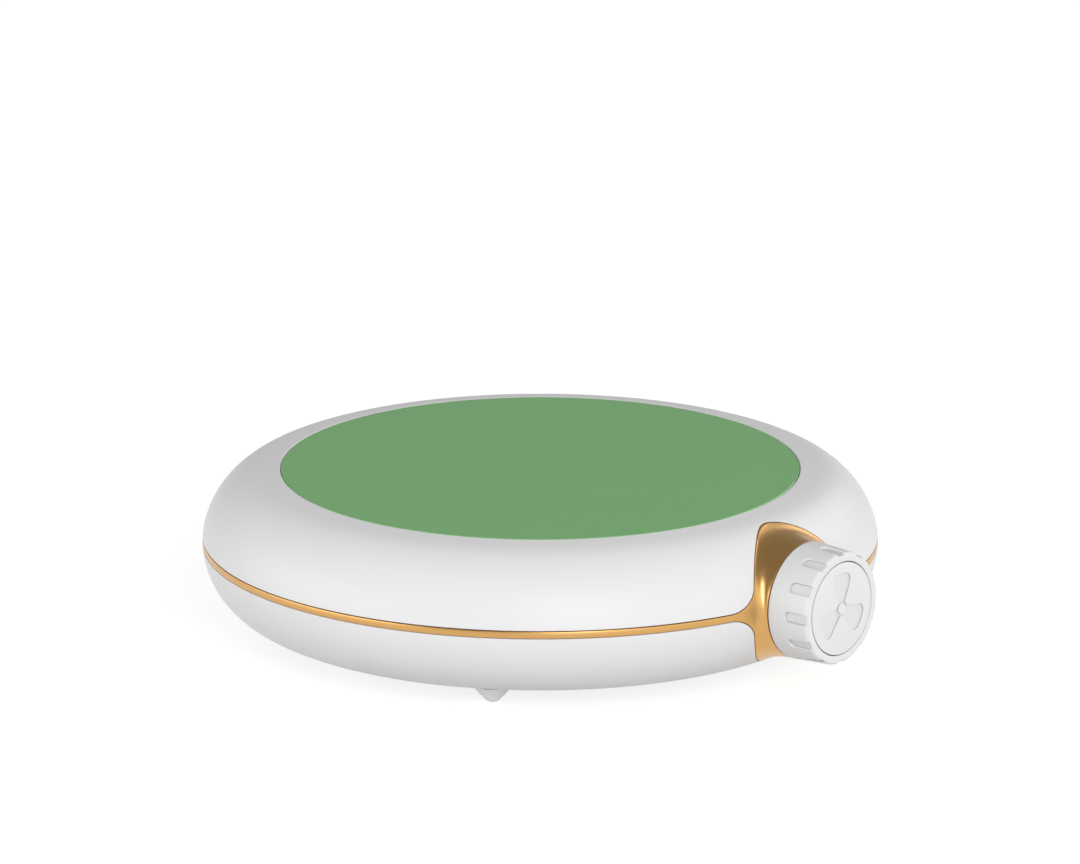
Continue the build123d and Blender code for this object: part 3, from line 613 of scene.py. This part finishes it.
def collar(columns=288, flare_steps=26):
    """Flared collar about the knob's axis, with the wall and the pocket behind it."""
    turns = np.arange(columns) * 2 * math.pi / columns
    edge = np.sqrt(skin_radius(COLLAR_R * np.sin(turns)) ** 2 - (COLLAR_R * np.cos(turns)) ** 2)
    rows = [(COLLAR_R, COLLAR_BACK)]
    rows += [(COLLAR_R - d, edge - depth) for d, depth in rounding(COLLAR_EDGE)]
    start, end = COLLAR_R - COLLAR_EDGE, COLLAR_FRONT - TRIM_EDGE
    for t in np.linspace(FLARE_START, 1, flare_steps):
        inwards = 2 * t * (1 - t) * FLARE_INWARDS + t * t
        forwards = 2 * t * (1 - t) * FLARE_FORWARDS + t * t
        rows.append((start - inwards * (start - NECK_R), edge + forwards * (end - edge)))
    rows += [(NECK_R - d, COLLAR_FRONT - depth) for d, depth in rounding(TRIM_EDGE)]
    rows += [(BORE_R, COLLAR_FRONT), (BORE_R, COLLAR_WALL_BACK)]
    rows += [(POCKET_R, COLLAR_WALL_BACK), (POCKET_R, COLLAR_BACK)]
    return about_knob(rows, turns)


def on_skin(x, height, depth):
    """Point on the skin in front, by its sideways place and height, or at a depth below it."""
    radius = float(skin_radius(height))
    y = -math.sqrt(radius**2 - x**2)
    shrink = (radius - depth) / radius
    return (x * shrink, y * shrink, PARTING_Z + height)


def strip(top_columns=9, strip_steps=120):
    """Strip at the parting plane with the fillets that lead it into the collar, as one closed tube."""
    depths = [(0.0, TRIM_DEPTH)] + rounding(TRIM_EDGE)
    edges = [half_outline(-d) for d, _ in depths]
    start = min(np.argmax(x > STRIP_START) for x, _ in edges) - 1
    shares = np.linspace(-1, 1, top_columns)
    top_x, top_h = edges.pop()
    top_inset, _ = depths.pop()
    touch = math.atan2(top_h[start], top_x[start])
    arc_x = COLLAR_R * (np.cos(touch * shares) - math.cos(touch))
    arc_h = np.sin(touch * shares) / math.sin(touch)
    section = []
    for i in range(start, len(top_x)):
        u = (i - start) / (len(top_x) - 1 - start)
        bow = STRIP_BOW * u
        above = [(x[i], h[i], depth + bow) for (x, h), (_, depth) in zip(edges, depths)]
        below = [(x, -h, depth) for x, h, depth in above]
        x = top_x[i] + (1 - u) ** 2 * arc_x
        h = top_h[i] * ((1 - u) * arc_h + u * shares)
        section.append([on_skin(*mark) for mark in [*below, *zip(x, h, bow * shares**2), *above[::-1]]])
    levels = np.array([TRIM_HALF - d for d, _ in depths])
    sides = [depth + STRIP_BOW for _, depth in depths]
    heights = np.concatenate([-levels, (TRIM_HALF - top_inset) * shares, levels[::-1]])
    radii = skin_radius(heights) - np.concatenate([sides, STRIP_BOW * shares**2, sides[::-1]])
    for turn in np.linspace(math.asin(top_x[-1] / BODY_R), math.pi, strip_steps)[1:]:
        section.append(np.stack([radii * math.sin(turn), -radii * math.cos(turn), PARTING_Z + heights], 1))
    half = np.array(section)
    level = [0, 0, PARTING_Z]
    half = np.vstack([(half[:1] - level) * STRIP_LAP + level, half])
    other = half[::-1][1:] * [-1, 1, 1]
    return tube(np.vstack([half, other]))


# ---- Knob


def knob():
    """Knob with grip flutes that are round at the back and run out at the front."""
    local = np.concatenate([np.linspace(*span) for span in FLUTE_TURNS])
    local = np.concatenate([-local[:0:-1], local])[:-1]
    turns = np.radians(np.concatenate([local + 360 / FLUTES * i for i in range(FLUTES)]))
    across = FLUTE_R * np.radians(np.tile(local, FLUTES))

    def side_radius(reach):
        return KNOB_R - KNOB_TAPER * (reach - KNOB_BACK) / (KNOB_FRONT - KNOB_BACK)

    def grooved(radius, reach):
        behind = np.minimum(reach - (FLUTE_START + FLUTE_HALF), 0)
        distance = np.hypot(across, behind) - FLUTE_HALF
        share = np.clip(0.5 - distance / FLUTE_WALL, 0, 1)
        share = share * share * (3 - 2 * share)
        return radius + (np.minimum(radius, FLUTE_FLOOR) - radius) * share

    rows = [(SHAFT_R, KNOB_INSIDE), (SHAFT_R, SOCKET_BACK), (SOCKET_R, SOCKET_BACK), (SOCKET_R, KNOB_INSIDE)]
    rows += [(KNOB_HOLLOW, KNOB_INSIDE), (KNOB_HOLLOW, KNOB_BACK)]
    rows += [(KNOB_R - depth, KNOB_BACK + d) for d, depth in rounding(KNOB_BACK_EDGE)]
    reaches = np.concatenate([np.linspace(*span) for span in KNOB_ROWS])
    rows += [(grooved(side_radius(reach), reach), reach) for reach in reaches]
    for d, depth in rounding(KNOB_EDGE, steps=7)[1:]:
        reach = KNOB_FRONT - depth
        rows.append((grooved(side_radius(KNOB_FRONT) - d, reach), reach))
    rows += [(radius, KNOB_FRONT) for radius in FACE_ROWS]
    rows += [(CAP_SEAT + d, KNOB_FRONT - depth) for d, depth in rounding(CAP_EDGE)[::-1]]
    rows += [(CAP_SEAT, CAP_BACK), (0.0, CAP_BACK), (0.0, KNOB_INSIDE)]
    piece("grip_knob", *about_knob(rows, turns), "dial", "white_knob", ["knob"], sharp=40)


def blade_outline(turn, grow, steps=12):
    """Places round a blade with straight sides and a round tip, grown by a width and turned from the side."""
    lean = math.atan(BLADE_WIDENING)
    # The centre of a corner's round lies at its radius from the side's line and from the tip's arc.
    inset = BLADE_ROOT - BLADE_ROUND / math.cos(lean)
    reach = BLADE_LENGTH - BLADE_ROUND
    square = 1 + BLADE_WIDENING**2
    root = math.sqrt((inset * BLADE_WIDENING) ** 2 - square * (inset**2 - reach**2))
    x = (root - inset * BLADE_WIDENING) / square
    y = inset + BLADE_WIDENING * x
    corner = np.linspace(math.pi / 2 + lean, math.atan2(y, x), steps)
    tip = np.linspace(math.atan2(y, x), 0, steps)[1:]
    rounded, length = BLADE_ROUND + grow, BLADE_LENGTH + grow
    side = BLADE_ROOT + grow / math.cos(lean)
    along = np.concatenate([[0], x + rounded * np.cos(corner), length * np.cos(tip)])
    across = np.concatenate([[side], y + rounded * np.sin(corner), length * np.sin(tip)])
    along = np.append(along, along[-2::-1])
    across = np.append(across, -across[-2::-1])
    return along * math.cos(turn) - across * math.sin(turn), along * math.sin(turn) + across * math.cos(turn)


def sinking(outline):
    """Closed mesh that sinks an outline into the knob's face, with a narrow bevel at the top of its wall."""
    marks = ((0.0, -BLADE_DEPTH), (0.0, -BLADE_BEVEL), (BLADE_BEVEL, 0.0), (BLADE_BEVEL, CUTTER_ABOVE))
    rows = []
    for grow, level in marks:
        x, h = outline(grow)
        rows.append(np.stack([x, np.full(len(x), -(KNOB_FRONT + level)), PARTING_Z + h], 1))
    return tube(rows)


def knob_cap(columns=180):
    """Disc in the knob's front with the propeller sunk into its face."""
    turns = np.arange(columns) * 2 * math.pi / columns
    hub_turns = turns[::3]
    rows = [(0.0, CAP_BACK), (CAP_R, CAP_BACK)]
    rows += [(CAP_R - d, KNOB_FRONT - depth) for d, depth in rounding(CAP_EDGE)]
    rows.append((0.0, KNOB_FRONT))
    obj = piece("propeller_cap", *about_knob(rows, turns), "dial", "white_knob", ["knob_cap"], CAP_SHARP)

    def groove(grow):
        radius = HUB_R + HUB_GROOVE + grow
        return radius * np.cos(hub_turns), radius * np.sin(hub_turns)

    for blade in range(BLADES):
        turn = math.radians(90 + 360 / BLADES * blade)
        cut(obj, [sinking(lambda grow: blade_outline(turn, grow))], "DIFFERENCE")
    cut(obj, [sinking(groove)], "DIFFERENCE")
    foot = KNOB_FRONT - BLADE_DEPTH - HUB_FOOT
    hub = [(0.0, foot), (HUB_R, foot), (HUB_R, KNOB_FRONT - BLADE_BEVEL)]
    hub += [(HUB_R - BLADE_BEVEL, KNOB_FRONT), (0.0, KNOB_FRONT)]
    cut(obj, [about_knob(hub, hub_turns)], "UNION")
    clean(obj, CAP_SHARP)


# ---- Plate, feet and inlet


def glass_plate():
    """Warming plate with a small round at its upper edge."""
    top = PARTING_Z + RIM_H
    low = top - PLATE_THICKNESS
    profile = [(0, low), (PLATE_R - PLATE_CHAMFER, low), (PLATE_R, low + PLATE_CHAMFER)]
    profile += [(PLATE_R - inwards, top - down) for inwards, down in PLATE_ROUND]
    profile += [(radius, top) for radius in PLATE_ROWS]
    piece("warming_glass", *turned(profile, columns=300), "casing", "green_glass", ["glass_plate"], sharp=25)


def feet():
    """Push-in rubber feet: a cone with a round nose, a stem and a head above the floor."""
    profile = FOOT_NOSE + FOOT_CONE + FOOT_STEM
    parts = [turned(profile, columns=56, centre=place) for place in foot_places()]
    piece("rubber_feet", *combine(*parts), "casing", "foot_rubber", ["feet"], sharp=40)


def box(centre, size):
    """Points and faces of a box."""
    points = []
    for x in (-1, 1):
        for y in (-1, 1):
            for z in (-1, 1):
                points.append([c + s * d / 2 for c, s, d in zip(centre, size, (x, y, z))])
    faces = [(0, 1, 3, 2), (4, 6, 7, 5), (0, 4, 5, 1), (2, 3, 7, 6), (0, 2, 6, 4), (1, 5, 7, 3)]
    return points, faces


def inlet():
    """Metal shell of the power inlet with a rolled mouth, and the contact tongue with its contacts."""
    lip = [(0.0, INLET_BACK)] + [(inset, INLET_MOUTH - back) for inset, back in INLET_LIP]
    lip.append((2 * INLET_METAL, INLET_BACK + INLET_METAL))
    marks = [(INLET_WIDTH - inset, INLET_HEIGHT - inset, reach) for inset, reach in lip]
    piece("inlet_shell", *slot_tube(marks), "casing", "nickel", ["usb_socket"], sharp=40)
    rows = []
    for width, height, reach in TONGUE:
        corners = ((-1, -1), (1, -1), (1, 1), (-1, 1))
        rows.append([(x * width / 2, reach, INLET_Z + h * height / 2) for x, h in corners])
    piece("inlet_tongue", *tube(rows), "casing", "black_plastic", ["usb_tongue"], sharp=20)
    contacts = []
    for face in (-1, 1):
        for lane in range(CONTACTS):
            x = (lane - (CONTACTS - 1) / 2) * CONTACT_PITCH
            contacts.append(box((x, CONTACT_REACH, INLET_Z + face * CONTACT_RISE), CONTACT_SIZE))
    piece("inlet_contacts", *combine(*contacts), "casing", "tinned_brass", sharp=20)


# ---- Materials


def noise(tree, place, scale, detail):
    """Random pattern over an object's places, as a share."""
    node = tree.nodes.new("ShaderNodeTexNoise")
    node.inputs["Scale"].default_value = scale
    node.inputs["Detail"].default_value = detail
    tree.links.new(place, node.inputs["Vector"])
    return node.outputs["Fac"]


def ranged(tree, value, source=(0.0, 1.0), target=(0.0, 1.0)):
    """Takes a value from its source range to a target range."""
    node = tree.nodes.new("ShaderNodeMapRange")
    for name, span in (("From", source), ("To", target)):
        node.inputs[name + " Min"].default_value, node.inputs[name + " Max"].default_value = span
    tree.links.new(value, node.inputs["Value"])
    return node.outputs["Result"]


def vector_math(tree, operation, value, constant=None):
    """Sum on a vector, with a constant vector where the operation takes one."""
    node = tree.nodes.new("ShaderNodeVectorMath")
    node.operation = operation
    if constant:
        node.inputs[1].default_value = constant
    tree.links.new(value, node.inputs[0])
    return node


def number_math(tree, operation, one, other):
    """Sum on two numbers."""
    node = tree.nodes.new("ShaderNodeMath")
    node.operation = operation
    tree.links.new(one, node.inputs[0])
    tree.links.new(other, node.inputs[1])
    return node.outputs["Value"]


def share_along_y(tree, place, start, end):
    """How far a place lies from one Y to another, both in millimetres, as a share."""
    axes = tree.nodes.new("ShaderNodeSeparateXYZ")
    tree.links.new(place, axes.inputs[0])
    return ranged(tree, axes.outputs["Y"], (start * MM, end * MM))


def face_depth(tree, place):
    """How far a place is sunk below the knob's face, against twice the propeller's depth."""
    return share_along_y(tree, place, -KNOB_FRONT, 2 * BLADE_DEPTH - KNOB_FRONT)


def flute_depth(tree, place):
    """How far a place on the knob's side is sunk, against twice a flute's depth."""
    from_axis = vector_math(tree, "SUBTRACT", place, (0, 0, PARTING_Z * MM))
    across = vector_math(tree, "MULTIPLY", from_axis.outputs["Vector"], (1, 0, 1))
    radius = vector_math(tree, "LENGTH", across.outputs["Vector"]).outputs["Value"]
    top, low = FLUTE_FLOOR + FLUTE_DEPTH, FLUTE_FLOOR - FLUTE_DEPTH
    sunk = ranged(tree, radius, (top * MM, low * MM))
    edge = KNOB_EDGE - KNOB_FRONT
    return number_math(tree, "MULTIPLY", sunk, share_along_y(tree, place, edge, edge + PAINTED_SHADE_START))


def painted_shade(tree, colour, sunk):
    """Colour with painted shade where a place is sunk: darkest in a deep gap, then on walls, least on a
    floor.
    """
    ramp = tree.nodes.new("ShaderNodeValToRGB")
    elements = ramp.color_ramp.elements
    for depth in PAINTED_SHADE_DEPTHS[1:-1]:
        elements.new(depth)
    for element, depth, shade in zip(elements, PAINTED_SHADE_DEPTHS, PAINTED_SHADE_LEVELS):
        element.position = depth
        element.color = [c * shade for c in colour] + [1.0]
    tree.links.new(sunk, ramp.inputs["Fac"])
    return ramp.outputs["Color"]


def material(
    name, colour, roughness, metallic=0.0, bump=0.0, scale=900.0, vary=0.04, specular=0.5, depth=None
):
    """Plain finish with fine procedural variation of colour, roughness and surface.

    Depth makes the nodes that tell how far a place is sunk below a face, as a share of which a half is the
    floor of what is sunk, and the colour then carries painted shade there.
    """
    made = bpy.data.materials.new(name)
    made.use_nodes = True
    tree = made.node_tree
    shader = tree.nodes["Principled BSDF"]
    shader.inputs["Metallic"].default_value = metallic
    shader.inputs["Specular IOR Level"].default_value = specular
    place = tree.nodes.new("ShaderNodeTexCoord").outputs["Object"]
    tint = ranged(tree, noise(tree, place, BROAD_SCALE, detail=3.0), target=(1 - vary, 1 + vary))
    mix = tree.nodes.new("ShaderNodeVectorMath")
    mix.operation = "SCALE"
    mix.inputs[0].default_value = colour
    tree.links.new(tint, mix.inputs["Scale"])
    if depth:
        # painted shade, darker where a place is sunk
        tree.links.new(painted_shade(tree, colour, depth(tree, place)), mix.inputs[0])
    tree.links.new(mix.outputs["Vector"], shader.inputs["Base Color"])
    grain = noise(tree, place, scale, detail=2.0)
    span = (roughness * (1 - ROUGHNESS_VARY), roughness * (1 + ROUGHNESS_VARY))
    tree.links.new(ranged(tree, grain, target=span), shader.inputs["Roughness"])
    if bump:
        relief = tree.nodes.new("ShaderNodeBump")
        relief.inputs["Strength"].default_value = 1.0
        relief.inputs["Distance"].default_value = bump * MM
        tree.links.new(grain, relief.inputs["Height"])
        tree.links.new(relief.outputs["Normal"], shader.inputs["Normal"])
    return made


FINISHES = {  # colour, roughness, and what differs from a plain finish
    "white_shell": ((0.80, 0.80, 0.80), 0.42, {"bump": 0.002, "vary": 0.006, "specular": 0.3}),
    # The knob's side and face carry painted shade in their flutes, gaps and the sunk propeller.
    "white_knob": ((0.78, 0.78, 0.78), 0.45, {"bump": 0.002, "vary": 0.006, "depth": flute_depth}),
    "knob_face": ((0.78, 0.78, 0.78), 0.45, {"bump": 0.002, "vary": 0.006, "depth": face_depth}),
    "gold_trim": ((0.65, 0.375, 0.132), 0.3, {"metallic": 1.0, "bump": 0.001, "vary": 0.02}),
    "green_glass": ((0.185, 0.49, 0.155), 0.06, {"vary": 0.01}),
    "foot_rubber": ((0.95, 0.95, 0.94), 0.6, {"bump": 0.01, "scale": 500}),
    "seal_rubber": ((0.03, 0.03, 0.03), 0.6, {"bump": 0.01}),
    "steel": ((0.56, 0.56, 0.57), 0.32, {"metallic": 1.0, "bump": 0.003}),
    "nickel": ((0.66, 0.65, 0.62), 0.22, {"metallic": 1.0, "bump": 0.001}),
    "aluminium": ((0.72, 0.72, 0.73), 0.35, {"metallic": 1.0, "bump": 0.003}),
    "tinned_brass": ((0.72, 0.6, 0.34), 0.3, {"metallic": 1.0}),
    "heater_film": ((0.42, 0.18, 0.03), 0.4, {"vary": 0.1}),
    "fibre_pad": ((0.68, 0.66, 0.6), 0.9, {"bump": 0.08, "scale": 1600, "vary": 0.1}),
    "foam": ((0.06, 0.06, 0.07), 0.9, {"bump": 0.1, "scale": 2500, "vary": 0.2}),
    "black_plastic": ((0.025, 0.025, 0.026), 0.42, {"bump": 0.006}),
    "white_ceramic": ((0.75, 0.73, 0.68), 0.35, {}),
    "circuit_board": ((0.02, 0.16, 0.06), 0.35, {"bump": 0.004, "vary": 0.1}),
    "white_plug": ((0.78, 0.76, 0.7), 0.45, {"bump": 0.004}),
    "red_lead": ((0.45, 0.02, 0.02), 0.45, {"bump": 0.004}),
    "black_lead": ((0.03, 0.03, 0.03), 0.45, {"bump": 0.004}),
}
MATERIALS = {name: material(name, colour, rough, **more) for name, (colour, rough, more) in FINISHES.items()}

upper_shell()
lower_shell()
piece("gold_trim", *combine(collar(), strip()), "casing", "gold_trim", ["trim_ring"], sharp=40)
knob()
knob_cap()
glass_plate()
feet()
inlet()

slots = {part["node"]: part["material_slot"] for part in frame["record"]["subparts"]}
slots.update({
    "upper_casing": "white_shell", "lower_casing": "white_shell", "gold_trim": "gold_trim",
    "grip_knob": "white_knob", "propeller_cap": "knob_face", "warming_glass": "green_glass",
    "rubber_feet": "foot_rubber", "inlet_shell": "nickel", "inlet_tongue": "black_plastic",
    "inlet_contacts": "tinned_brass",
})
for obj in list(bpy.data.objects):
    if obj.type == "MESH" and obj.name in slots:
        obj.data.materials.clear()
        obj.data.materials.append(MATERIALS[slots[obj.name]])


# ---- Floor, light and camera


def floor():
    """Pale floor that is plain white to the camera and in metal and glass, but for the object's shadow."""
    mesh = bpy.data.meshes.new("floor")
    corners = [(-1, -1), (1, -1), (1, 1), (-1, 1)]
    mesh.from_pydata([(FLOOR_HALF * x, FLOOR_HALF * y, 0) for x, y in corners], [], [(0, 1, 2, 3)])
    obj = bpy.data.objects.new("floor", mesh)
    bpy.context.scene.collection.objects.link(obj)
    made = bpy.data.materials.new("floor")
    made.use_nodes = True
    tree = made.node_tree
    nodes, links = tree.nodes, tree.links
    nodes.remove(nodes["Principled BSDF"])
    matte, pale = [nodes.new("ShaderNodeBsdfDiffuse") for _ in range(2)]
    for node, grey in ((matte, FLOOR_MATTE), (pale, FLOOR_PALE)):
        node.inputs["Color"].default_value = (grey, grey, grey, 1)
    glow = nodes.new("ShaderNodeEmission")
    glow.inputs["Color"].default_value = (1, 1, 1, 1)
    glow.inputs["Strength"].default_value = FLOOR_GLOW
    white = nodes.new("ShaderNodeAddShader")
    links.new(pale.outputs[0], white.inputs[0])
    links.new(glow.outputs[0], white.inputs[1])
    rays = nodes.new("ShaderNodeLightPath")
    seen = rays.outputs["Is Camera Ray"]
    for kind in ("Is Glossy Ray", "Is Transmission Ray"):
        seen = number_math(tree, "MAXIMUM", seen, rays.outputs[kind])
    pick = nodes.new("ShaderNodeMixShader")
    for source, target in zip((seen, matte.outputs[0], white.outputs[0]), pick.inputs):
        links.new(source, target)
    links.new(pick.outputs[0], nodes["Material Output"].inputs["Surface"])
    mesh.materials.append(made)


def lamp(name, azimuth, elevation, width, height, power):
    """Soft box that looks at the object."""
    data = bpy.data.lights.new(name, "AREA")
    data.shape = "RECTANGLE"
    data.size, data.size_y = width, height
    data.energy = power
    obj = bpy.data.objects.new(name, data)
    bpy.context.scene.collection.objects.link(obj)
    a, e = math.radians(azimuth), math.radians(elevation)
    away = LAMP_DISTANCE * math.cos(e)
    obj.location = (away * math.sin(a), -away * math.cos(a), LAMP_DISTANCE * math.sin(e) + LAMP_AIM_Z)
    obj.rotation_euler = (math.pi / 2 - e, 0, a)


def studio():
    """Plain grey light from all sides."""
    world = bpy.data.worlds.new("studio")
    bpy.context.scene.world = world
    world.use_nodes = True
    sky = world.node_tree.nodes["Background"]
    sky.inputs["Color"].default_value = (1, 1, 1, 1)
    sky.inputs["Strength"].default_value = SKY


def camera():
    """Camera that looks down at the knob's side from afar."""
    data = bpy.data.cameras.new("camera")
    data.sensor_width = CAMERA_SENSOR
    data.lens = CAMERA_LENS
    obj = bpy.data.objects.new("camera", data)
    obj.location = CAMERA_PLACE
    obj.rotation_euler = (math.radians(90 - CAMERA_DOWN), 0, math.radians(CAMERA_TURN))
    bpy.context.scene.collection.objects.link(obj)
    bpy.context.scene.camera = obj


floor()
studio()
for lamp_name, settings in LAMPS.items():
    lamp(lamp_name, *settings)
camera()
bpy.context.scene.view_settings.view_transform = "Standard"
